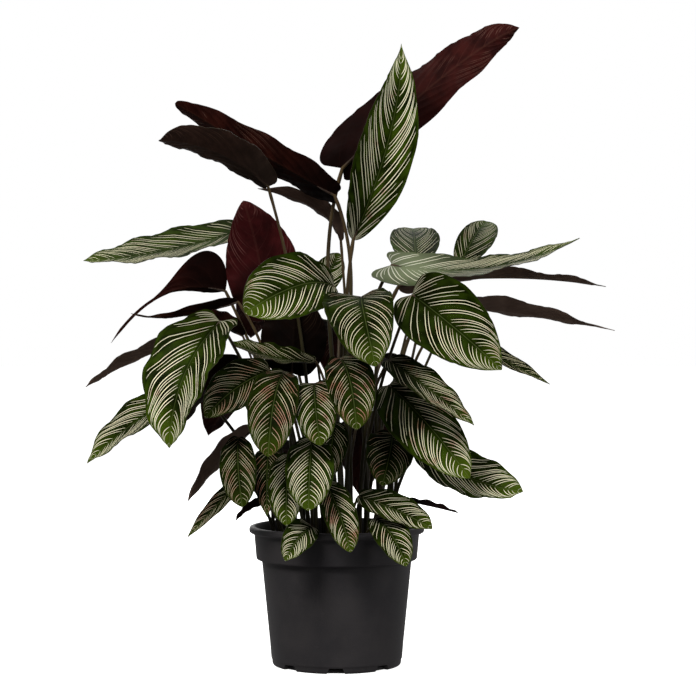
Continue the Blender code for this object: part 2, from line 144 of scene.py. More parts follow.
# Name: foot of the stem on the soil (x, y), blade base, blade tip, how far the midrib's arch is pulled
# from the straight line between them, where the upper side looks, half width, fold, curl, and two powers,
# of how slowly the blade widens from its base and narrows to its tip.
LEAF_ROWS = dict(
    upright=((12, -1), (18, -20, 459), (69, -45, 666), (24, 0, 4),
        (0.3, -0.9, 0.2), 34, 12, 14, 0.75, 1.2),
    top_right=((6, 14), (6, 20, 540), (198, -5, 690), (-13, 0, 14),
        (0.37, 0.85, -0.37), 36, 10, 14, 0.3, 0.8),
    top_left=((-8, 8), (-2, 0, 509), (-177, 15, 611), (20, 0, -13),
        (0.35, 0.65, 0.6), 26, 10, 14, 0.27, 0.43),
    left_sweep=((-22, 4), (-74, -10, 518), (-184, -75, 561), (10, 0, 22),
        (0.2, 0.5, 0.8), 31, 8, 14, 0.4, 0.38),
    under_sweep=((16, 34), (5, 48, 462), (-88, 44, 520), (37, 0, 14),
        (0.5, 0.4, 0.8), 20, 8, 20, 0.75, 0.9),
    burgundy=((-30, 16), (-78, 34, 374), (-104, 42, 506), (10, -8, 0),
        (-0.1, 1, 0.2), 42, 8, 10, 0.5, 0.75),
    shoulder=((-12, -16), (-2, -45, 408), (-92, -140, 378), (4, 0, 26),
        (0.6, -0.9, 0.6), 37, 8, 10, 0.65, 0.45),
    round_left=((-50, 26), (-124, 50, 406), (-253, 58, 348), (0, 0, 56),
        (0.1, 0.9, 0.4), 24, 8, 10, 1.4, 7),
    thin_left=((-56, 12), (-109, 22, 394), (-227, 30, 381), (0, 0, -17),
        (-0.1, 0.5, 0.8), 11, 14, 20, 0.6, 2.2),
    long_left=((-46, 36), (-115, 94, 475), (-282, 46, 440), (-5, 0, -14),
        (-0.1, -0.55, 0.8), 32, 8, 14, 0.4, 0.75),
    big_left=((-46, -14), (-124, -45, 371), (-173, -95, 239), (-22, -25, 15),
        (-0.45, -0.8, 0.35), 46, 14, 8, 0.4, 0.72),
    low_left=((-60, 8), (-150, 14, 300), (-268, -26, 219), (-5, 0, 16),
        (-0.3, -0.6, 0.7), 28, 8, 14, 0.5, 0.75),
    dark_left=((-62, 20), (-145, 30, 356), (-276, 20, 300), (-5, 0, 12),
        (-0.3, 0.25, 0.9), 23, 8, 14, 0.55, 0.85),
    behind_big=((-60, -18), (-104, -10, 327), (-175, -35, 246), (-8, 0, 22),
        (-0.6, 0.5, 0.5), 26, 8, 14, 0.55, 0.85),
    shade_left=((-34, -22), (-71, -53, 319), (-136, -95, 270), (-6, -8, 10),
        (0, -1, 0.3), 26, 12, 10, 0.5, 0.7),
    ledge=((-24, -14), (-23, -17, 329), (-113, -14, 350), (-5, 0, -12),
        (0, -0.35, 0.9), 27, 8, 14, 0.6, 0.75),
    curl_left=((-48, 4), (-102, 5, 356), (-142, -5, 382), (-5, 0, 4),
        (0, 0.6, 0.8), 13, 14, 30, 0.55, 0.85),
    mid_1=((-24, -32), (-55, -70, 318), (-69, -130, 232), (-4, -20, 24),
        (0, -1, 0.3), 27, 12, 10, 0.6, 0.5),
    mid_2=((-10, -30), (-23, -75, 306), (-16, -125, 243), (-4, -14, 18),
        (0, -1, 0.3), 23, 12, 10, 0.6, 0.5),
    mid_3=((6, -28), (4, -85, 332), (21, -140, 260), (4, -20, 24),
        (0, -1, 0.3), 26, 12, 10, 0.55, 0.5),
    crest=((8, -16), (26, -60, 397), (40, -150, 324), (-8, -25, 30),
        (0, -1, 0.3), 37, 10, 8, 0.3, 0.5),
    big_right=((22, -8), (80, -58, 399), (170, -115, 320), (-8, -30, 10),
        (-0.1, -1, 0.2), 41, 10, 8, 0.42, 0.74),
    fan_right=((32, 0), (60, -4, 433), (259, -40, 460), (0, -18, -36),
        (0, -0.4, 0.9), 32, 8, 10, 0.35, 0.8),
    fan_back=((32, 26), (88, 58, 438), (88, 130, 481), (0, 0, 12),
        (0, -0.5, 0.85), 29, 8, 10, 0.45, 0.65),
    round_right=((44, 36), (138, 68, 437), (172, 125, 489), (0, -6, 10),
        (0, -0.6, 0.8), 22, 8, 10, 0.5, 0.6),
    dark_right_1=((46, 20), (68, 30, 411), (294, 10, 410), (0, 0, 19),
        (0, 0.12, 1), 27, 8, 14, 0.55, 0.9),
    dark_right_2=((58, 4), (98, 20, 392), (303, 5, 362), (0, 0, 8),
        (0.2, 0.35, 0.9), 24, 8, 14, 1.2, 1.8),
    small_right=((62, -6), (104, -8, 362), (228, -35, 304), (0, 0, 6),
        (-0.2, -0.6, 0.8), 14, 12, 14, 0.5, 0.9),
    right_1=((24, -40), (55, -66, 330), (141, -125, 264), (2, -6, 2),
        (0.2, -0.7, 0.7), 23, 12, 10, 0.45, 0.9),
    right_2=((50, -32), (56, -31, 303), (138, -100, 208), (-4, -14, 16),
        (0, -1, 0.2), 34, 12, 10, 0.5, 0.6),
    right_3=((56, -22), (86, -27, 234), (195, -80, 193), (0, -4, -16),
        (0.1, -0.8, 0.6), 29, 8, 14, 0.6, 0.65),
    shade_right=((38, -46), (60, -34, 250), (48, -74, 198), (4, -10, 12),
        (0, -1, 0.3), 27, 12, 10, 0.5, 0.6),
    low_right=((14, -44), (23, -55, 186), (99, -110, 157), (2, -4, 5),
        (0, -0.9, 0.6), 18, 12, 10, 0.5, 0.6),
    low_right_2=((28, -56), (41, -65, 164), (72, -118, 119), (4, -16, 12),
        (0, -1, 0.3), 19, 12, 10, 0.5, 0.6),
    low_mid=((0, -56), (-12, -73, 202), (15, -122, 134), (2, -14, 14),
        (0, -1, 0.3), 18, 12, 10, 0.55, 0.5),
    rim_left=((-16, -64), (-25, -84, 157), (-52, -122, 125), (-2, -10, 10),
        (0, -1, 0.3), 17, 10, 10, 0.5, 0.7),
    light=((-22, -48), (-25, -78, 248), (-28, -128, 177), (-1, -14, 16),
        (0, -1, 0.3), 26, 10, 8, 0.6, 0.5),
    light_back=((4, -42), (-2, -62, 263), (-8, -78, 203), (0, -8, 10),
        (0, -1, 0.3), 18, 10, 8, 0.55, 0.85),
    low_1=((-34, -44), (-50, -58, 230), (-51, -108, 160), (-2, -12, 14),
        (0, -1, 0.3), 20, 10, 8, 0.55, 0.5),
    low_2=((-42, -34), (-72, -40, 236), (-72, -88, 167), (-2, -10, 12),
        (0, -1, 0.3), 16, 10, 8, 0.55, 0.85),
    low_3=((-58, -32), (-104, -50, 248), (-97, -98, 178), (-4, -12, 12),
        (0, -1, 0.3), 20, 12, 8, 0.6, 0.5),
    low_left_2=((-66, -24), (-98, -20, 204), (-159, -45, 141), (4, -6, 8),
        (0, -0.8, 0.6), 10, 12, 10, 0.55, 0.85),
    low_dark=((-54, -44), (-74, -46, 178), (-107, -54, 160), (-2, 0, 8),
        (-0.3, 0.4, 0.8), 12, 10, 10, 0.55, 0.85),
    dark_low=((-68, -12), (-91, -18, 256), (-160, -32, 178), (3, 0, 14),
        (-0.6, 0.5, 0.5), 17, 10, 16, 0.55, 0.85),
    low_right_dark=((60, -34), (75, -7.5, 178), (132, -3.5, 164), (0, 0, 1),
        (0, 0.2, 1), 12, 10, 12, 0.55, 0.85),
    dark_mid=((-14, 22), (-49, 9, 315), (-45, 13, 402), (0, -3, 0),
        (0, 1, 0.1), 37, 8, 10, 0.45, 0.6),
    back_peek=((2, 40), (-22, 70, 402), (2, 96, 451), (0, 8, 0),
        (0, -1, 0.2), 17, 8, 12, 0.55, 0.6),
    back_left=((-14, 58), (-60, 110, 386), (-105, 215, 355), (0, 0, 44),
        (0, 0.2, 1), 38, 8, 10, 0.5, 0.7),
    back_right=((54, 40), (94, 92, 376), (140, 195, 332), (0, 0, 44),
        (0, 0.3, 1), 36, 8, 10, 0.5, 0.7),
    back_mid=((-6, 56), (2, 98, 372), (0, 205, 296), (0, 0, 40),
        (0, 0.4, 1), 34, 8, 10, 0.5, 0.7),
    back_low_right=((20, 60), (54, 96, 268), (72, 188, 198), (0, 0, 32),
        (0, 0.4, 1), 29, 8, 10, 0.55, 0.85),
    back_far_left=((-48, 52), (-90, 80, 302), (-152, 160, 240), (0, 0, 28),
        (-0.2, 0.4, 1), 35, 8, 10, 0.55, 0.8),
    back_low_left=((-26, 66), (-40, 80, 235), (-60, 165, 170), (0, 0, 30),
        (0, 0.4, 1), 27, 8, 10, 0.55, 0.85),
    back_low_mid=((6, 70), (22, 78, 262), (30, 140, 165), (0, 0, 20),
        (0, 0.5, 1), 27, 8, 10, 0.55, 0.85),
    back_far_right=((34, 46), (52, 76, 334), (104, 140, 262), (0, 0, 26),
        (0.2, 0.4, 1), 20, 8, 10, 0.55, 0.85),
)

# Name: where the arch is pulled, as a share of the way from base to tip, then the twist at the base and at
# the tip in degrees, how much the edge waves, how much wider the left half is than the right one, and how
# far the lobes at the base reach back, the last three as shares of the half width.
LEAF_FORMS = dict(
    upright=(0.57, 0, 0, 0.06, 0.07, 0.45), top_right=(0.75, 45, 50, 0.07, -0.24, 0.88),
    top_left=(0.5, 0, 0, 0.07, -0.1, 0.45), left_sweep=(0.5, 0, 0, 0.04, 0.0, 0.45),
    burgundy=(0.5, 0, 0, 0.04, 0.06, 0.45), shoulder=(0.35, 0, 0, 0.05, 0.0, 0.25),
    round_left=(0.57, 0, 0, 0.0, 0.7, 0.45), thin_left=(0.7, 0, 0, 0.07, 0.0, 0.45),
    long_left=(0.5, 0, 0, 0.06, 0.0, 0.9), big_left=(0.5, 0, 0, 0.07, 0.0, 0.6),
    ledge=(0.5, 0, 0, 0.05, 0.12, 0.45), crest=(0.5, 0, 0, 0.04, -0.12, 0.45),
    big_right=(0.5, 0, 0, 0.04, 0.0, 0.8), fan_right=(0.5, 40, 0, 0.05, -0.25, 1.3),
    fan_back=(0.5, 0, 0, 0.01, 0.0, 0.45), round_right=(0.5, 0, 0, 0.01, -0.25, 0.45),
    dark_right_1=(0.5, -60, 0, 0.07, 0.0, 0.45), right_1=(0.5, 0, 0, 0.07, -0.12, 0.45),
    right_2=(0.5, 0, 0, 0.07, -0.15, 0.6), dark_mid=(0.5, 0, 0, 0.02, 0.0, 0.45),
)
USUAL_FORM = (0.5, 0, 0, 0.07, 0.0, 0.45)

LEAVES = {name: row + LEAF_FORMS.get(name, USUAL_FORM) for name, row in LEAF_ROWS.items()}

# Name: how bright the leaf is, partly its own tone and partly painted light and shade, low for shaded
# leaves, and how red the stripes and the underside are, both from 0 to 1.
LOOKS = dict(
    upright=(0.8, 0.35), top_right=(0.47, 0.6), top_left=(0.5, 0.4), left_sweep=(0.58, 0.35),
    under_sweep=(0.45, 0.5), burgundy=(0.4, 1.0), shoulder=(0.47, 0.3), round_left=(0.3, 0.5),
    thin_left=(0.3, 0.2), long_left=(0.5, 0.2), big_left=(0.68, 0.3), low_left=(0.46, 0.2),
    dark_left=(0.5, 0.3), behind_big=(0.2, 0.3), shade_left=(0.2, 0.6), ledge=(0.2, 0.4),
    curl_left=(0.3, 0.2), mid_1=(0.27, 0.7), mid_2=(0.4, 0.6), mid_3=(0.3, 0.75), crest=(0.33, 0.4),
    big_right=(0.47, 0.35), fan_right=(0.45, 0.2), fan_back=(0.5, 0.2), round_right=(0.45, 0.3),
    dark_right_1=(0.5, 0.3), dark_right_2=(0.5, 0.5), small_right=(0.08, 0.3), right_1=(0.32, 0.5),
    right_2=(0.64, 0.45), right_3=(0.6, 0.2), shade_right=(0.2, 0.6), low_right=(0.4, 0.35),
    low_right_2=(0.42, 0.35), low_mid=(0.42, 0.65), rim_left=(0.45, 0.2), light=(0.5, 0.2),
    light_back=(0.3, 0.4), low_1=(0.45, 0.3), low_2=(0.2, 0.7), low_3=(0.2, 0.6), low_left_2=(0.2, 0.6),
    low_dark=(0.2, 0.3), dark_low=(0.5, 0.4), low_right_dark=(0.3, 0.3), dark_mid=(0.05, 0.1),
)
USUAL_LOOK = (0.45, 0.4)

# Undersides lightened with painted light: how much of a grey brown they hold.
PAINTED_LIGHT_UNDERSIDES = dict(
    dark_left=0.68, dark_right_1=0.52, dark_right_2=0.62, dark_low=0.75, left_sweep=0.15, under_sweep=0.35,
)
# Leaves with a painted grey sheen, a reflection painted into their colour: how much, where along the
# blade it is strongest, and how far it fades from there.
PAINTED_SHEEN = dict(
    fan_right=(1.0, 0.12, 0.17), fan_back=(0.15, 0.0, 1.0), round_right=(0.0, 0.0, 0.7),
    long_left=(0.05, 0.0, 1.5),
)
# Leaves with a folded or round end. All others run out in a sharp point over this share of their length.
BLUNT_LEAVES = ("top_left", "left_sweep", "burgundy", "round_left", "fan_back", "round_right", "dark_mid")
POINT_REACH = 0.045
POINT_CUT = 0.55


def unit(vector):
    """The vector at length 1."""
    vector = np.asarray(vector, float)
    return vector / np.linalg.norm(vector)


def midrib(leaf, t):
    """Point and direction on the midrib at t from 0, the blade's base, to 1, its tip."""
    base, tip, arch = (np.array(leaf[i], float) for i in (1, 2, 3))
    top = base + leaf[10] * (tip - base) + arch
    point = (1 - t) ** 2 * base + 2 * t * (1 - t) * top + t * t * tip
    return point, unit((1 - t) * (top - base) + t * (tip - top))


def rib_frames(leaf):
    """Points, directions, left sides and upper sides along the midrib, carried on from its middle."""
    points, along = zip(*(midrib(leaf, i / FRAME_STEPS) for i in range(FRAME_STEPS + 1)))
    half = FRAME_STEPS // 2
    upper = [None] * (FRAME_STEPS + 1)
    face = unit(leaf[4])
    for start, stop, step in ((half, FRAME_STEPS + 1, 1), (half, -1, -1)):
        carried = face
        for i in range(start, stop, step):
            carried = unit(carried - carried.dot(along[i]) * along[i])
            upper[i] = carried
    points, along, upper = (np.array(rows) for rows in (points, along, upper))
    left = np.cross(upper, along)
    past = np.linspace(-1, 1, FRAME_STEPS + 1)
    turn = np.radians(np.where(past < 0, leaf[11], leaf[12]) * past**2)[:, None]
    upper, left = np.cos(turn) * upper - np.sin(turn) * left, np.cos(turn) * left + np.sin(turn) * upper
    return points, along, left, upper


def leaf_length(leaf):
    """Length of the blade along its midrib."""
    points = rib_frames(leaf)[0]
    return float(np.linalg.norm(np.diff(points, axis=0), axis=1).sum())


def half_width(t, base, taper):
    """Share of the widest half width at t: round at the base, drawn out to a point at the tip."""
    peak = base / (base + taper)
    most = peak**base * (1 - peak) ** taper
    return t**base * (1 - t) ** taper / most


def blade_points(leaf, frames, t, s):
    """The blade's upper face at arrays of t along the midrib and s from edge to edge."""
    place = t * FRAME_STEPS
    i = np.minimum(place.astype(int), FRAME_STEPS - 1)
    mix = (place - i)[..., None]
    point, along, left, upper = (rows[i] * (1 - mix) + rows[i + 1] * mix for rows in frames)
    wide, fold, curl, base, taper = leaf[5:10]
    wave, uneven, lobe = leaf[13:16]
    share = half_width(t, base, taper)
    narrowest = NARROWEST * np.minimum(1.0, np.minimum(10 * t, 10 * (1 - t)))
    width = np.maximum(wide * share * (1 + uneven * np.sign(s)), narrowest)
    start = radians(fold)
    turn = radians(curl) + 1e-6
    reach = np.abs(s)
    out = width * (np.sin(start + turn * reach) - sin(start)) / turn
    rise = width * (cos(start) - np.cos(start + turn * reach)) / turn
    phase = wide + np.where(s > 0, 1.7, 0.0)
    rise += wave * wide * reach**2 * np.sin(2 * pi * WAVES * t + phase) * np.minimum(1.0, 4 * share)
    back = lobe * width * reach**2 * np.exp(-t / 0.08)
    out = (np.sign(s) * out)[..., None] * left
    return point + out + rise[..., None] * upper - back[..., None] * along, width


def stem_line(leaf, steps):
    """Points and radii from the foot in the soil to the end of the run under the blade."""
    foot = np.array((*leaf[0], STEM_STRAIGHT), float)
    points, along, _, upper = rib_frames(leaf)
    sink = STEM_SINK * np.minimum(1.0, np.arange(FRAME_STEPS + 1) / (0.4 * STEM_UNDER * FRAME_STEPS))
    under = points - upper * (RIB_THICK / 2 + sink)[:, None]
    base = under[0]
    climb = base[2] - foot[2]
    reach = np.linalg.norm(base - foot)
    first = foot + np.array((0.1 * (base[0] - foot[0]), 0.1 * (base[1] - foot[1]), 0.45 * climb))
    arrive = unit(0.5 * along[0] + np.array((0.0, 0.0, 0.8)))
    second = base - 0.3 * reach * arrive
    u = np.linspace(0, 1, steps + 1)[:, None]
    rise = (1 - u) ** 3 * foot + 3 * u * (1 - u) ** 2 * first + 3 * u * u * (1 - u) * second + u**3 * base
    line = [np.array((*leaf[0], STEM_FOOT), float), *rise, *under[1 : round(STEM_UNDER * FRAME_STEPS) + 1]]
    thick = STEM_RADIUS + STEM_PER_LENGTH * leaf_length(leaf)
    share = np.linspace(0, 1, steps + 1)
    knee = KNEE * np.exp(-(((share - KNEE_PLACE) / KNEE_LENGTH) ** 2))
    sheath = SHEATH * np.exp(-share / SHEATH_LENGTH)
    radii = [thick * FOOT_WIDER, *(thick * (1 - STEM_TAPER * share + knee + sheath))]
    run = len(line) - len(radii)
    radii += list(np.linspace(RUN_NARROWER * thick, RUN_END, run))
    return np.array(line), np.array(radii)


def vein_start(t, reach, sweep):
    """Where on the midrib the side vein starts that passes through t at that share of the half width."""
    low = np.full(t.shape, -0.6)
    high = np.ones(t.shape)
    ahead = VEIN_RISE * reach + VEIN_HOOK * reach**HOOK_POWER
    for _ in range(VEIN_HALVINGS):
        middle = (low + high) / 2
        from_base = np.maximum(middle, 0)
        swept = sweep * (1 - from_base) * (1 - np.exp(-(from_base + 0.12) / 0.35))
        beyond = middle + swept * ahead > t
        high = np.where(beyond, middle, high)
        low = np.where(beyond, low, middle)
    return (low + high) / 2


def in_scene(name, data):
    """A new object with this data, in the scene."""
    made = bpy.data.objects.new(name, data)
    bpy.context.scene.collection.objects.link(made)
    return made


def make_object(name, points, faces, looks, slots, maps, smooth=55):
    """A mesh object from points in millimetres. maps gives each UV map as one pair for each face corner."""
    mesh = bpy.data.meshes.new(name)
    mesh.vertices.add(len(points))
    mesh.vertices.foreach_set("co", (np.asarray(points) * MM).astype(np.float32).ravel())
    sizes = np.array([len(face) for face in faces], np.int32)
    corners = np.concatenate([np.asarray(face, np.int32) for face in faces])
    mesh.loops.add(len(corners))
    mesh.loops.foreach_set("vertex_index", corners)
    mesh.polygons.add(len(faces))
    mesh.polygons.foreach_set("loop_start", np.concatenate([[0], np.cumsum(sizes)[:-1]]).astype(np.int32))
    mesh.polygons.foreach_set("material_index", np.asarray(slots, np.int32))
    mesh.polygons.foreach_set("use_smooth", [True] * len(faces))
    for map_name, values in maps.items():
        layer = mesh.uv_layers.new(name=map_name, do_init=False)
        layer.uv.foreach_set("vector", np.asarray(values, np.float32).ravel())
    for look in looks:
        mesh.materials.append(look)
    mesh.update(calc_edges=True)
    mesh.validate()
    mesh.set_sharp_from_angle(angle=radians(smooth))
    return in_scene(name, mesh)


def grid_normals(grid):
    """Upward directions of a grid of points."""
    along = np.gradient(grid, axis=0)
    across = np.gradient(grid, axis=1)
    normal = np.cross(along, across)
    return normal / np.maximum(np.linalg.norm(normal, axis=2, keepdims=True), 1e-9)


def tube(line, radii, sides):
    """Points and faces of a closed tube, with its ends capped."""
    along = np.gradient(line, axis=0)
    along /= np.linalg.norm(along, axis=1, keepdims=True)
    side = unit(np.cross(along[0], (0.3, 1.0, 0.1)))
    points = []
    angles = np.linspace(0, 2 * pi, sides, endpoint=False)
    for point, forward, radius in zip(line, along, radii):
        side = unit(side - side.dot(forward) * forward)
        other = np.cross(forward, side)
        points += [point + radius * (cos(a) * side + sin(a) * other) for a in angles]
    faces = []
    for i in range(len(line) - 1):
        for j in range(sides):
            k = (j + 1) % sides
            faces.append((i * sides + j, i * sides + k, (i + 1) * sides + k, (i + 1) * sides + j))
    faces.append(tuple(range(sides - 1, -1, -1)))
    last = (len(line) - 1) * sides
    faces.append(tuple(range(last, last + sides)))
    return points, faces


def blade_faces(rows, half):
    """Faces of a closed blade, their material slots, and the row, column and half of each corner.

    The first and last row are one point each. The underside's points follow the upper side's.
    """
    columns = 2 * half + 1
    count = 2 + (rows - 1) * columns

    def index(i, j):
        if i == 0:
            return 0
        return count - 1 if i == rows else 1 + (i - 1) * columns + j

    faces, slots, corners = [], [], []

    def add(ring, left, slot):
        faces.append([first + index(i, j) for i, j, first in ring])
        corners.extend((i, j, left) for i, j, _ in ring)
        slots.append(slot)

    for i in range(rows):
        for j in range(columns - 1):
            ring = [(i, j), (i, j + 1), (i + 1, j + 1), (i + 1, j)]
            if i == 0:
                ring = [(0, j), (1, j + 1), (1, j)]
            if i == rows - 1:
                ring = [(i, j), (i, j + 1), (rows, j)]
            left = 1 if j >= half else 0
            add([(*corner, 0) for corner in reversed(ring)], left, 0)
            add([(*corner, count) for corner in ring], left, 1)
    for i in range(rows):
        for j, left in ((0, 0), (columns - 1, 1)):
            ring = [(i, j, 0), (i + 1, j, 0), (i + 1, j, count), (i, j, count)]
            add(ring if left else ring[::-1], left, 2)
    return faces, slots, np.array(corners)


def blade_grid(name, leaf, frames, length):
    """Spots t and s of a blade's grid, its points, its half width at each and its upward directions."""
    rows = int(np.clip(round(length / CELL), *CELLS_ALONG))
    half = int(np.clip(round(leaf[5] / CELL), *CELLS_ASIDE))
    spread = np.linspace(0, 1, rows + 1)
    t_row = EVEN * spread + (1 - EVEN) * (0.5 - 0.5 * np.cos(pi * spread))
    across = np.linspace(-1, 1, 2 * half + 1)
    t, s = np.meshgrid(t_row, np.sign(across) * np.abs(across) ** CLOSER_AT_RIB, indexing="ij")
    kept = 1 - (0 if name in BLUNT_LEAVES else POINT_CUT) * np.exp(-(1 - t) / POINT_REACH)
    grid, width = blade_points(leaf, frames, t, s * kept)
    normal = grid_normals(grid)
    normal[0] = frames[3][0]
    normal[-1] = frames[3][-1]
    return t, s, grid, width * kept, normal


def side_veins(length, wide, t, s, width):
    """Place of each spot in the row of vein groups, and how many groups a millimetre holds there."""
    sweep = SWEEP * float(np.clip(0.45 + 2.2 * wide / length, 0.5, 1.0))
    vein = vein_start(t, np.abs(s), sweep) * (GROUPS_LEAST + length / GROUP_LENGTH)
    per_t, per_s = np.gradient(vein, t[:, 0], s[0])
    widening = np.gradient(width, t[:, 0], axis=0)
    room = np.maximum(width, 1.0)
    crowd = np.hypot((per_t - per_s * s * widening / room) / length, per_s / room)
    return vein, np.minimum(crowd, MOST_CROWDED)


def pleats(vein, reach, t):
    """Waves along the side veins, from -1 to 1, that end before the midrib, the edge and both ends."""
    open_part = np.clip((reach - 0.03) / 0.25, 0, 1) * np.clip((1 - reach) / 0.12, 0, 1)
    open_part *= np.clip(t / 0.1, 0, 1) * np.clip((1 - t) / 0.12, 0, 1)
    return np.cos(2 * pi * vein) * open_part


def ruffles(length, wide, seed, t, s, width):
    """Height of the small uneven waves of the edge."""
    turn = 2 * pi * length * t / RUFFLE_LENGTH + seed + np.where(s > 0, 2.1, 0.0)
    wavy = np.sin(turn + 1.3 * np.sin(2.3 * turn / 3))
    return RUFFLE * wide / 30 * np.abs(s) ** 3 * wavy * np.minimum(1, width / 8)


def build_leaf(name, leaf, seed, looks):
    """A closed blade with its relief, and its stem, as one piece that stands for the leaf's solid."""
    frames = rib_frames(leaf)
    length = leaf_length(leaf)
    full = min(1.0, length / FULL_LENGTH)
    wide = leaf[5]
    t, s, grid, width, normal = blade_grid(name, leaf, frames, length)
    reach = np.abs(s)
    aside = s * width
    vein, crowd = side_veins(length, wide, t, s, width)
    pleat = PLEAT * (FLAT_PLEAT if name in PAINTED_SHEEN else full) * pleats(vein, reach, t)
    shaped = grid + (pleat + ruffles(length, wide, seed, t, s, width))[..., None] * normal
    rib = np.exp(-((aside / GROOVE_WIDE) ** 2)) * np.clip(width / 5, 0, 1)
    top = shaped - (GROOVE * (1 - 0.6 * t) * rib)[..., None] * normal
    thick = EDGE_THICK + (BLADE_THICK - EDGE_THICK) * (1 - reach**4)
    thick = thick + (RIB_THICK - BLADE_THICK) * (1 - t) * rib
    thick[0] = RIB_THICK
    bottom = shaped - thick[..., None] * normal
    rows, half = t.shape[0] - 1, t.shape[1] // 2
    faces, slots, corners = blade_faces(rows, half)
    # Painted reflection: how much grey sheen each spot of the blade gets.
    most, middle, fade = PAINTED_SHEEN.get(name, (0.0, 0.0, 1.0))
    glow = most * np.exp(-(((t - middle) / fade) ** 2) - (aside / (0.9 * wide)) ** 2)
    pairs = {
        "vein": (vein, reach),
        "place": (t * length / 100, aside / 100),
        "crowd": (crowd * (FINEST + (1 - FINEST) * full), np.full(t.shape, PAINTED_LIGHT_UNDERSIDES.get(name, 0.0))),
        "span": (t, glow),
    }
    maps = {key: np.stack(pair, -1)[corners[:, 0], corners[:, 1]] for key, pair in pairs.items()}
    maps["vein"][:, 0] += LEAF_SHIFT * seed + SIDE_SHIFT * corners[:, 2]
    maps["place"][:, 0] += PLACE_SHIFT * seed
    line, radii = stem_line(leaf, STEM_STEPS)
    stem_points, stem_faces = tube(line, radii, STEM_SIDES)
    rise = np.array([(corner // STEM_SIDES) / len(line) for face in stem_faces for corner in face])
    stem_map = np.stack([rise, np.full(len(rise), 0.1 * seed)], -1)
    maps = {key: np.concatenate([value, stem_map]) for key, value in maps.items()}
    maps["tone"] = np.tile(np.array([LOOKS.get(name, USUAL_LOOK)]), (len(maps["span"]), 1))
    sides = [(side[:1, half], side[1:-1].reshape(-1, 3), side[-1:, half]) for side in (top, bottom)]
    points = np.concatenate([part for side in sides for part in side])
    faces += [[len(points) + corner for corner in face] for face in stem_faces]
    slots += [3] * len(stem_faces)
    points = np.concatenate([points, stem_points])
    return make_object("blade_" + name, points, faces, looks, slots, maps)


def linear(code):
    """A linear colour from a display colour such as "2f4a17"."""
    parts = [int(code[i : i + 2], 16) / 255 for i in (0, 2, 4)]
    return (*[c / 12.92 if c <= 0.04045 else ((c + 0.055) / 1.055) ** 2.4 for c in parts], 1.0)


class Nodes:
    """Short calls that add linked nodes to a material or a world."""

    def __init__(self, owner):
        owner.use_nodes = True
        self.tree = owner.node_tree

    def put(self, socket, value):
        """Links a socket to another, or sets it to a number or to the code of a display colour."""
        if isinstance(value, bpy.types.NodeSocket):
            self.tree.links.new(value, socket)
        else:
            socket.default_value = linear(value) if isinstance(value, str) else value

    def node(self, kind, given=(), **settings):
        """A new node with these settings. Its inputs are given by name or number."""
        made = self.tree.nodes.new(kind)
        for key, value in settings.items():
            setattr(made, key, value)
        for key, value in dict(given).items():
            self.put(made.inputs[key], value)
        return made

    def math(self, operation, a, b=0.0):
        return self.node("ShaderNodeMath", {0: a, 1: b}, operation=operation).outputs[0]

    def add(self, a, b):
        return self.math("ADD", a, b)

    def times(self, a, b):
        return self.math("MULTIPLY", a, b)

    def less(self, a, b):
        return self.math("SUBTRACT", a, b)

    def far(self, a, b):
        """How far a is from b."""
        return self.math("ABSOLUTE", self.less(a, b))

    def step(self, value, low, high, start=0.0, end=1.0):
        """A smooth step from start to end as value goes from low to high."""
        given = enumerate((value, low, high, start, end))
        return self.node("ShaderNodeMapRange", given, interpolation_type="SMOOTHSTEP").outputs[0]

    def mix(self, share, a, b):
        """A colour that goes from a to b as the share goes from 0 to 1."""
        return self.node("ShaderNodeMix", {0: share, 6: a, 7: b}, data_type="RGBA").outputs[2]

    def split(self, vector):
        return self.node("ShaderNodeSeparateXYZ", {0: vector}).outputs

    def join(self, x, y, z):
        return self.node("ShaderNodeCombineXYZ", {0: x, 1: y, 2: z}).outputs[0]

    def uv(self, name):
        return self.node("ShaderNodeUVMap", uv_map=name).outputs[0]

    def own(self):
        return self.node("ShaderNodeTexCoord").outputs["Object"]

    def noise(self, vector, scale, detail=2.0, roughness=0.5):
        given = {"Vector": vector, "Scale": scale, "Detail": detail, "Roughness": roughness}
        return self.node("ShaderNodeTexNoise", given).outputs[0]

    def random(self, value, shift):
        """Three random numbers for each whole value."""
        given = {"W": self.add(value, shift)}
        made = self.node("ShaderNodeTexWhiteNoise", given, noise_dimensions="1D")
        return self.split(made.outputs["Color"])


class Look(Nodes):
    """One new material."""

    def __init__(self, name):
        self.material = bpy.data.materials.new(name)
        super().__init__(self.material)
        self.shader = self.tree.nodes["Principled BSDF"]

    def surface(self, colour, rough, gloss=0.5):
        self.put(self.shader.inputs["Base Color"], colour)
        self.put(self.shader.inputs["Roughness"], rough)
        self.shader.inputs["Specular IOR Level"].default_value = gloss

    def bump(self, height, distance, strength):
        made = self.node("ShaderNodeBump", {"Strength": strength, "Distance": distance, "Height": height})
        self.put(self.shader.inputs["Normal"], made.outputs[0])


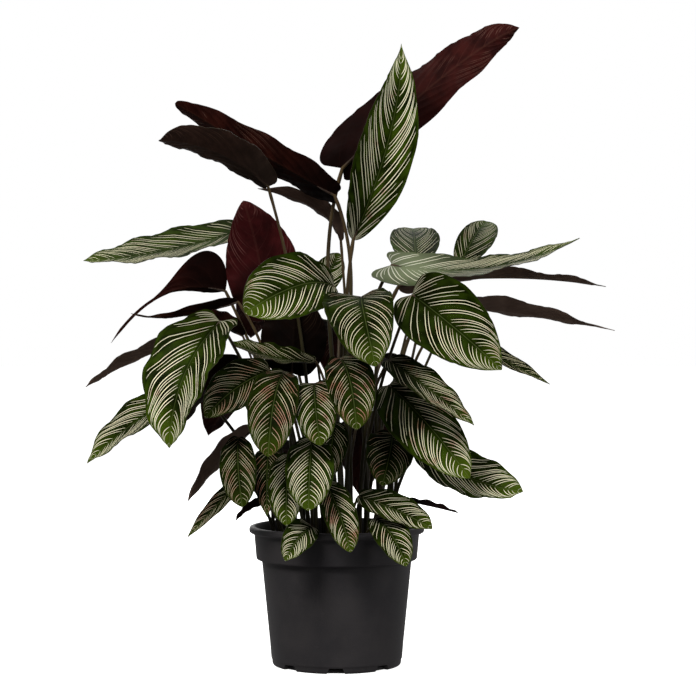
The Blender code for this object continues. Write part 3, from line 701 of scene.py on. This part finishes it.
def leaf_top(name, pale):
    """Upper face: green with a plain midrib and margin, and thin pale lines in groups along the side veins.

    UV maps: vein holds the place in the row of side veins and the share of the half width, place the spot
    on the blade in units of 100 mm, crowd the groups in a millimetre and how much painted light lightens
    the underside, span the share of the length and the amount of painted grey sheen, tone how bright the
    leaf is, partly painted light and shade, and how red it is.
    """
    look = Look(name)
    vein, reach, _ = look.split(look.uv("vein"))
    place = look.uv("place")
    _, aside, _ = look.split(place)
    bright, red, _ = look.split(look.uv("tone"))
    group = look.math("FLOOR", vein)
    part = look.math("FRACT", vein)
    first, second, third = (look.random(group, shift) for shift in (0.13, 0.61, 0.37))
    waver = look.times(look.less(look.noise(place, 7.0), 0.5), 0.1)
    wavering = look.add(part, waver)
    lines = None
    fullness = look.step(bright, 0.1, 0.75, 0.6, 1.15)
    crowd, _, _ = look.split(look.uv("crowd"))
    span, glow, _ = look.split(look.uv("span"))
    at_tip = look.step(span, 0.86, 1.0, 1.0, 0.3)
    for i, (middle, half, last) in enumerate(LINES):
        centre = look.add(middle - 0.045, look.times(first[i], 0.09))
        begin = look.add(0.03, look.times(second[i], 0.06))
        end = look.less(last, look.times(third[i], 0.1))
        grow = look.step(reach, begin, look.add(begin, 0.25), 0.4, 1.0)
        fall = look.step(reach, look.less(end, 0.3), end, 1.0, 0.5)
        wide = look.times(look.times(grow, fall), half)
        wide = look.times(wide, look.times(look.times(crowd, at_tip), fullness))
        if i == 2:
            wide = look.times(wide, look.step(second[0], 0.55, 0.6))
        gap = look.far(wavering, centre)
        line = look.step(look.math("DIVIDE", gap, look.math("MAXIMUM", wide, 0.0001)), 0.75, 1.25, 1.0, 0.0)
        begun = look.step(reach, begin, look.add(begin, 0.03))
        going_on = look.step(reach, look.less(end, 0.03), end, 1.0, 0.0)
        line = look.times(line, look.times(begun, going_on))
        lines = line if lines is None else look.math("MAXIMUM", lines, line)
    broken = look.step(look.noise(place, 26.0, 3.0, 0.6), 0.2, 0.42, 0.75, 1.0)
    lines = look.times(lines, broken)
    between = look.step(look.far(part, 0.45), 0.2, 0.36, 1.0, 0.0)
    between = look.times(between, look.step(reach, 0.05, 0.25))
    rib_gap = look.math("ABSOLUTE", aside)
    rib_band = look.step(rib_gap, 0.012, 0.026, 1.0, 0.0)
    rib_line = look.step(rib_gap, 0.002, 0.007, 1.0, 0.0)
    margin = look.step(reach, 0.88, 0.95)
    edge = look.step(reach, 0.975, 0.995)
    cloud = look.noise(place, 3.2, 3.0)
    fine = look.noise(place, 60.0, 2.0)
    # Painted light and shade: the tone's brightness darkens or lightens the green, the lines and the cream.
    dark = look.mix(bright, "020300", "0e1501")
    fresh = look.mix(bright, "080d01", "42590f")
    green = look.mix(look.step(cloud, 0.3, 0.72), dark, fresh)
    green = look.mix(look.times(between, 0.8), green, look.mix(bright, "010100", "0a0d01"))
    green = look.mix(look.times(rib_band, 0.6), green, dark)
    green = look.mix(look.times(margin, 0.4), green, fresh)
    tip_green = look.mix(bright, "1c2806", "86a32c")
    green = look.mix(look.step(span, 0.7, 1.0, 0.0, 0.4), green, tip_green)
    green = look.mix(look.times(edge, 0.6), green, "1c1c0c")
    green = look.mix(look.times(rib_line, 0.3), green, "6f7f44")
    green = look.mix(0.12, green, look.mix(fine, "030500", "303e10"))
    cream = look.mix(look.step(bright, 0.0, 0.6), "c6bf99", "fffad6")
    pink = look.mix(red, "dcbfa0", "bd7a66")
    blush = look.step(look.add(look.noise(place, 5.5), look.times(red, 0.4)), 0.68, 0.92)
    stripe = look.mix(blush, cream, pink)
    colour = look.mix(lines, green, stripe)
    rough = look.step(look.noise(place, 9.0), 0.3, 0.7, 0.36, 0.5)
    if pale:
        colour = look.mix(look.times(lines, 0.5), colour, "85825c")
        # Painted shade: darker at the very base, where the blade meets the stem.
        colour = look.mix(look.step(span, 0.0, 0.13, 0.85, 0.0), colour, "0c1405")
        # Painted reflection: a grey sheen mixed in, as much as the span map's second value.
        painted_sheen_colour = look.mix(lines, "7c8566", "e4e5d4")
        colour = look.mix(look.times(glow, 0.8), colour, painted_sheen_colour)
    else:
        # Painted shade: darker towards the base, where the leaves above shade it.
        colour = look.mix(look.step(span, 0.0, 0.4, 0.65, 0.0), colour, "080a02")
        rough = look.add(rough, look.step(span, 0.0, 0.4, 0.4, 0.0))
    look.surface(colour, rough, 0.03 if pale else 0.01)
    threads = look.math("SINE", look.times(vein, 2 * pi * 9))
    cells = look.noise(place, 150.0, 2.0)
    height = look.add(look.times(threads, 0.06), look.times(cells, 0.7))
    height = look.add(height, look.times(lines, 0.25))
    look.bump(height, 0.00012, 0.6)
    return look.material


def leaf_under(name):
    """Underside: wine red to near black, with paler side veins and midrib and a hint of the lines above."""
    look = Look(name)
    vein, reach, _ = look.split(look.uv("vein"))
    place = look.uv("place")
    _, aside, _ = look.split(place)
    bright, red, _ = look.split(look.uv("tone"))
    span, _, _ = look.split(look.uv("span"))
    _, paler, _ = look.split(look.uv("crowd"))
    part = look.math("FRACT", look.add(vein, look.times(look.less(look.noise(place, 6.0), 0.5), 0.12)))
    ridge = look.step(look.far(part, 0.5), 0.02, 0.07, 1.0, 0.0)
    ridge = look.times(ridge, look.step(reach, 0.0, 0.95, 1.0, 0.1))
    threads = look.math("SINE", look.times(vein, 2 * pi * 7))
    rib = look.step(look.math("ABSOLUTE", aside), 0.006, 0.016, 1.0, 0.0)
    cloud = look.noise(place, 4.0, 4.0)
    deep = look.mix(red, "0f0703", "2a0b0b")
    warm = look.mix(red, "261408", "441516")
    colour = look.mix(look.step(cloud, 0.3, 0.7), deep, warm)
    ridge_colour = look.mix(red, "2c1a12", "5e322c")
    colour = look.mix(look.times(ridge, look.step(red, 0.5, 1.0, 0.38, 0.15)), colour, ridge_colour)
    rib_colour = look.mix(red, "2b1d12", "56322a")
    colour = look.mix(look.times(rib, look.step(red, 0.5, 1.0, 0.35, 0.2)), colour, rib_colour)
    ghost = look.step(look.far(look.far(part, 0.45), 0.16), 0.02, 0.06, 1.0, 0.0)
    ghost = look.times(ghost, look.step(look.noise(place, 2.6, 2.0), 0.45, 0.58, 0.0, 0.5))
    ghost = look.times(ghost, look.times(look.step(span, 0.35, 0.7), look.step(reach, 0.2, 0.4)))
    colour = look.mix(ghost, colour, look.mix(red, "6e5a48", "8e5f58"))
    # Painted shade: the underside is darker towards its base.
    colour = look.mix(look.step(span, 0.1, 0.6, 0.8, 0.0), colour, "060302")
    # Painted shade: leaves with a low brightness darken to near black.
    colour = look.mix(look.step(bright, 0.05, 0.35, 0.8, 0.0), colour, "030201")
    # Painted light: some undersides lighten to a grey brown, as much as the crowd map's second value.
    colour = look.mix(paler, colour, look.mix(cloud, "5a4238", "a08a7a"))
    look.surface(colour, look.step(look.noise(place, 12.0), 0.3, 0.7, 0.58, 0.72), 0.03)
    cells = look.noise(place, 130.0, 2.0)
    height = look.add(ridge, look.add(look.times(threads, 0.15), look.times(cells, 0.4)))
    look.bump(height, 0.00018, 0.6)
    return look.material


def leaf_edge(name):
    """The thin rim between the upper face and the underside: dull green to brown."""
    look = Look(name)
    place = look.uv("place")
    colour = look.mix(look.noise(place, 20.0), "2a3414", "3a2018")
    look.surface(colour, look.step(look.noise(place, 40.0), 0.3, 0.7, 0.4, 0.55))
    return look.material


def petiole(name):
    """Stems: olive green with painted shade low down, redder above, with fine lengthwise streaks."""
    look = Look(name)
    rise, _, _ = look.split(look.uv("vein"))
    own = look.own()
    x, y, z = look.split(own)
    streaks = look.noise(look.join(x, y, look.times(z, 0.06)), 900.0, 3.0)
    blotch = look.noise(own, 26.0, 3.0)
    # Painted shade: the low part of each stem is darker, for the shade among the lower leaves.
    low = look.mix(blotch, "1f1d10", "3f3c20")
    high = look.mix(blotch, "38261a", "5f4f30")
    patchy = look.add(rise, look.times(look.less(blotch, 0.5), 0.4))
    colour = look.mix(look.step(patchy, 0.35, 0.8), low, high)
    colour = look.mix(look.step(streaks, 0.35, 0.65, 0.0, 0.4), colour, "2a1c12")
    colour = look.mix(look.step(rise, 0.77, 0.83, 0.0, 0.85), colour, "24150f")
    look.surface(colour, look.step(streaks, 0.3, 0.7, 0.36, 0.52), 0.2)
    look.bump(streaks, 0.0003, 0.5)
    return look.material


def pot_plastic(name):
    """Matte charcoal plastic: fine moulded grain, faint scuffs and a little dust low down."""
    look = Look(name)
    own = look.own()
    x, y, z = look.split(own)
    grain = look.noise(own, 1400.0, 2.0)
    cloud = look.noise(own, 22.0, 4.0)
    flattened = look.join(look.times(x, 0.35), look.times(y, 0.35), look.times(z, 3.0))
    scuffs = look.noise(flattened, 260.0, 4.0, 0.6)
    dust = look.noise(own, 420.0, 3.0, 0.7)
    colour = look.mix(look.step(cloud, 0.3, 0.7), "343234", "3e3b3c")
    colour = look.mix(look.step(scuffs, 0.6, 0.8, 0.0, 0.28), colour, "4a474a")
    low = look.step(z, 0.0, 0.03, 1.0, 0.15)
    colour = look.mix(look.times(look.step(dust, 0.64, 0.76, 0.0, 0.4), low), colour, "6a6258")
    look.surface(colour, look.step(cloud, 0.3, 0.7, 0.5, 0.62), 0.15)
    look.bump(look.add(grain, look.times(scuffs, 0.5)), 0.00022, 0.55)
    return look.material


def peat(name):
    """Moist potting mix: dark crumbs with lighter fibres."""
    look = Look(name)
    own = look.own()
    crumbs = look.node("ShaderNodeTexVoronoi", {"Vector": own, "Scale": 330.0})
    fine = look.noise(own, 900.0, 4.0, 0.65)
    patch = look.noise(own, 60.0, 3.0)
    colour = look.mix(look.step(patch, 0.3, 0.7), "1d130d", "33241a")
    colour = look.mix(look.step(fine, 0.62, 0.75, 0.0, 0.7), colour, "6d5238")
    look.surface(colour, look.step(fine, 0.3, 0.7, 0.85, 0.98))
    look.bump(look.add(crumbs.outputs["Distance"], fine), 0.0015, 0.8)
    return look.material


def floor_look(name):
    """Near white floor that glows a little, so that it stays as plain as the photo's background."""
    look = Look(name)
    own = look.own()
    colour = look.mix(look.noise(own, 3.0), "f4f4f3", "f8f8f7")
    look.surface(colour, 0.8)
    look.put(look.shader.inputs["Emission Color"], colour)
    look.shader.inputs["Emission Strength"].default_value = FLOOR_GLOW
    return look.material


# Pot: half profile as radius and height, down the outside from the rim, under the base and up inside.
POT_STEPS = 160
POT_SMOOTH = 38
POT_PROFILE = (
    (90.2, 149.8), (91.0, 150.0), (92.6, 149.9), (94.0, 149.2), (94.7, 148.2), (95.0, 146.8), (95.0, 144.8),
    (94.6, 143.7), (93.8, 143.1), (92.6, 142.8), (90.8, 142.6), (90.0, 142.0), (89.6, 141.0), (89.3, 138.0),
    (88.6, 130.0), (87.9, 122.0), (87.4, 116.4), (87.2, 115.2), (86.6, 114.4), (85.6, 114.0), (82.6, 113.9),
    (81.8, 113.5), (81.4, 112.6), (80.6, 106.0), (78.6, 86.0), (76.5, 65.0), (74.5, 45.0), (72.4, 24.0),
    (71.1, 8.6), (71.0, 7.4), (70.6, 6.6), (70.3, 5.8), (70.0, 2.6), (69.6, 1.2), (68.8, 0.3), (67.6, 0.0),
    (60.0, 0.0), (30.0, 0.0), (0.0, 0.0), (0.0, 2.6), (30.0, 2.6), (60.0, 2.6), (65.0, 3.6), (67.4, 7.0),
    (71.5, 44.0), (75.6, 81.0), (79.2, 114.4), (79.8, 115.8), (84.0, 117.2), (85.0, 118.2), (86.2, 130.0),
    (87.5, 144.0), (88.2, 147.6), (89.2, 149.2),
)

# Drainage slots: how many, their width at the bottom, how much narrower their top is, height, the reach of
# the cutter from the axis and below the pot, its rounded edges, and the turn of the first slot in degrees.
SLOTS = 8
SLOT_WIDTH = 21.0
SLOT_TOP = 0.7
SLOT_HEIGHT = 6.0
SLOT_INNER = 62.5
SLOT_OUTER = 80.0
SLOT_BELOW = -2.0
SLOT_BEVEL = 1.2
SLOT_TURN = -90.5

# Soil: its block, its side as radius and height, and the ranges of the waves in its top: how tight they
# are, which way they run and where they start. Then how high lumps, crumbs and the mound round a stem are.
SOIL_STEPS = 144
SOIL_RINGS = 61
SOIL_RADIUS = 84.0
SOIL_TOP = 128.0
SOIL_SMOOTH = 60
SOIL_SIDE = ((83.6, 118.9), (78.4, 115.8), (66.6, 7.4), (59.6, 3.2))
SOIL_SEED = 11
SOIL_WAVES = 60
WAVE_RANGES = ((0.03, 0.55), (0, 2 * pi), (0, 2 * pi))
LUMPS = 0.55
CRUMBS = 0.35
MOUND = 1.6
MOUND_RADIUS = 5.0


def turned_pot(look):
    """The pot as a body of revolution from its closed half profile. Points on the axis are shared."""
    steps = POT_STEPS
    points, rings = [], []
    angles = np.linspace(0, 2 * pi, steps, endpoint=False)
    for radius, height in POT_PROFILE:
        if radius == 0:
            rings.append([len(points)] * steps)
            points.append((0.0, 0.0, height))
        else:
            rings.append(list(range(len(points), len(points) + steps)))
            points += [(radius * cos(a), radius * sin(a), height) for a in angles]
    faces = []
    for upper, lower in zip(rings, rings[1:] + rings[:1]):
        if upper[0] == upper[1] and lower[0] == lower[1]:
            continue
        for j in range(steps):
            k = (j + 1) % steps
            ring = [upper[j], lower[j], lower[k], upper[k]]
            faces.append([v for i, v in enumerate(ring) if v not in ring[:i]])
    return make_object("pot_body", points, faces, [look], [0] * len(faces), {}, POT_SMOOTH)


def build_pot(look):
    """The turned pot with drainage slots cut round its bottom edge."""
    pot = turned_pot(look)
    cutters = bpy.data.collections.new("slot_cutters")
    bpy.context.scene.collection.children.link(cutters)
    for i in range(SLOTS):
        shape = bmesh.new()
        bmesh.ops.create_cube(shape, size=1.0)
        for corner in shape.verts:
            top = corner.co.z > 0
            corner.co.x = SLOT_INNER if corner.co.x < 0 else SLOT_OUTER
            corner.co.y *= SLOT_WIDTH * (SLOT_TOP if top else 1.0)
            corner.co.z = SLOT_HEIGHT if top else SLOT_BELOW
        ends = [(e, *(v.co for v in e.verts)) for e in shape.edges]
        along = [e for e, a, b in ends if abs(a.x - b.x) > 1 and a.z > 0]
        bmesh.ops.bevel(shape, geom=along, offset=SLOT_BEVEL, segments=3, affect="EDGES", profile=0.5)
        bmesh.ops.scale(shape, vec=(MM, MM, MM), verts=shape.verts)
        bmesh.ops.recalc_face_normals(shape, faces=shape.faces)
        mesh = bpy.data.meshes.new(f"slot_{i + 1}")
        shape.to_mesh(mesh)
        shape.free()
        cutter = bpy.data.objects.new(f"slot_{i + 1}", mesh)
        cutters.objects.link(cutter)
        cutter.matrix_world = Matrix.Rotation(radians(SLOT_TURN + i * 360 / SLOTS), 4, "Z")
    cut = pot.modifiers.new("Slots", "BOOLEAN")
    cut.operand_type = "COLLECTION"
    cut.collection = cutters
    cut.solver = "EXACT"
    bpy.context.view_layer.update()
    graph = bpy.context.evaluated_depsgraph_get()
    done = bpy.data.meshes.new_from_object(pot.evaluated_get(graph), depsgraph=graph)
    pot.modifiers.clear()
    pot.data = done
    for cutter in list(cutters.objects):
        bpy.data.objects.remove(cutter)
    bpy.data.collections.remove(cutters)
    done.materials.clear()
    done.materials.append(look)
    done.polygons.foreach_set("use_smooth", [True] * len(done.polygons))
    done.set_sharp_from_angle(angle=radians(POT_SMOOTH))
    return pot


def build_soil(look):
    """Crumbly peat: a filled block with a lumpy top that rises a little round the stems."""
    rng = np.random.default_rng(SOIL_SEED)
    waves = [[rng.uniform(low, high) for low, high in WAVE_RANGES] for _ in range(SOIL_WAVES)]
    feet = np.array([leaf[0] for leaf in LEAVES.values()], float)
    radii = np.linspace(0, SOIL_RADIUS, SOIL_RINGS + 1)[1:]
    angles = np.linspace(0, 2 * pi, SOIL_STEPS, endpoint=False)
    points = [(0.0, 0.0, SOIL_TOP)]
    for radius in radii:
        for angle in angles:
            x, y = radius * cos(angle), radius * sin(angle)
            runs = ((k, x * cos(a) + y * sin(a), b) for k, a, b in waves)
            lump = sum(sin(k * run + b) / (1 + 14 * k) for k, run, b in runs)
            near = np.hypot(feet[:, 0] - x, feet[:, 1] - y).min()
            mound = MOUND * exp(-((near / MOUND_RADIUS) ** 2))
            height = SOIL_TOP - 1.0 + LUMPS * lump + mound + rng.uniform(-CRUMBS, CRUMBS)
            points.append((x, y, height - 2.0 * (radius / SOIL_RADIUS) ** 6))
    for radius, height in SOIL_SIDE:
        points += [(radius * cos(a), radius * sin(a), height) for a in angles]
    steps = SOIL_STEPS
    after = [(j + 1) % steps for j in range(steps)]
    faces = [(0, 1 + j, 1 + k) for j, k in enumerate(after)]
    for i in range(SOIL_RINGS + len(SOIL_SIDE) - 1):
        a, b = 1 + i * steps, 1 + (i + 1) * steps
        faces += [(a + j, b + j, b + k, a + k) for j, k in enumerate(after)]
    faces.append(tuple(len(points) - 1 - j for j in range(steps)))
    return make_object("soil_peat", points, faces, [look], [0] * len(faces), {}, SOIL_SMOOTH)


def area_light(name, place, aim, size, power, colour):
    """A square soft light at a place, turned to a point."""
    lamp = bpy.data.lights.new(name, "AREA")
    lamp.shape = "SQUARE"
    lamp.size = size
    lamp.energy = power
    lamp.color = colour
    made = in_scene(name, lamp)
    made.location = place
    made.rotation_euler = (Vector(aim) - Vector(place)).to_track_quat("-Z", "Y").to_euler()


def build_studio():
    """White background, dim light all round that is stronger behind, four soft lights and the floor."""
    world = bpy.data.worlds.new("studio")
    bpy.context.scene.world = world
    sky = Nodes(world)
    sky.tree.nodes.clear()
    _, depth, _ = sky.split(sky.node("ShaderNodeTexCoord").outputs["Generated"])
    strength = sky.node("ShaderNodeMapRange", enumerate((depth, -0.3, 0.7, WORLD_FRONT, WORLD_BACK)))
    lit = sky.node("ShaderNodeBackground", {"Color": "ffffff", "Strength": strength.outputs[0]})
    seen = sky.node("ShaderNodeBackground", {"Color": "ffffff", "Strength": 1.0})
    path = sky.node("ShaderNodeLightPath").outputs["Is Camera Ray"]
    both = sky.node("ShaderNodeMixShader", {0: path, 1: lit.outputs[0], 2: seen.outputs[0]})
    sky.node("ShaderNodeOutputWorld", {"Surface": both.outputs[0]})
    for name, values in LIGHTS.items():
        area_light(name, *values)
    corners = [(x * FLOOR_HALF, y * FLOOR_HALF, 0) for x, y in ((-1, -1), (1, -1), (1, 1), (-1, 1))]
    floor = make_object("floor", corners, [(0, 1, 2, 3)], [floor_look("pale_floor")], [0], {})
    floor.visible_diffuse = False
    floor.visible_glossy = False
    bpy.context.scene.view_settings.view_transform = "Standard"
    bpy.context.scene.view_settings.look = "None"


def build_camera():
    """Level camera where the photo's stood."""
    data = bpy.data.cameras.new("camera")
    data.sensor_width = 36.0
    data.lens = CAMERA_LENS
    camera = in_scene("camera", data)
    camera.location = CAMERA_PLACE
    camera.rotation_euler = (pi / 2, 0, 0)
    bpy.context.scene.camera = camera


def main():
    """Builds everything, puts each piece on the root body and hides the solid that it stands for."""
    build_studio()
    build_camera()
    under, edge, stalk = leaf_under("leaf_underside"), leaf_edge("leaf_margin"), petiole("stem_skin")
    tops = {False: leaf_top("leaf_stripes", False), True: leaf_top("leaf_stripes_painted_sheen", True)}
    for seed, (name, leaf) in enumerate(LEAVES.items()):
        made = build_leaf(name, leaf, seed, [tops[name in PAINTED_SHEEN], under, edge, stalk])
        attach(made, "root")
        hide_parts("leaf_" + name)
    for made, node, slot in (
        (build_pot(pot_plastic("charcoal_plastic")), "pot", "pot_plastic"),
        (build_soil(peat("peat_crumbs")), "soil", "peat"),
    ):
        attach(made, "root")
        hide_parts(node)


main()
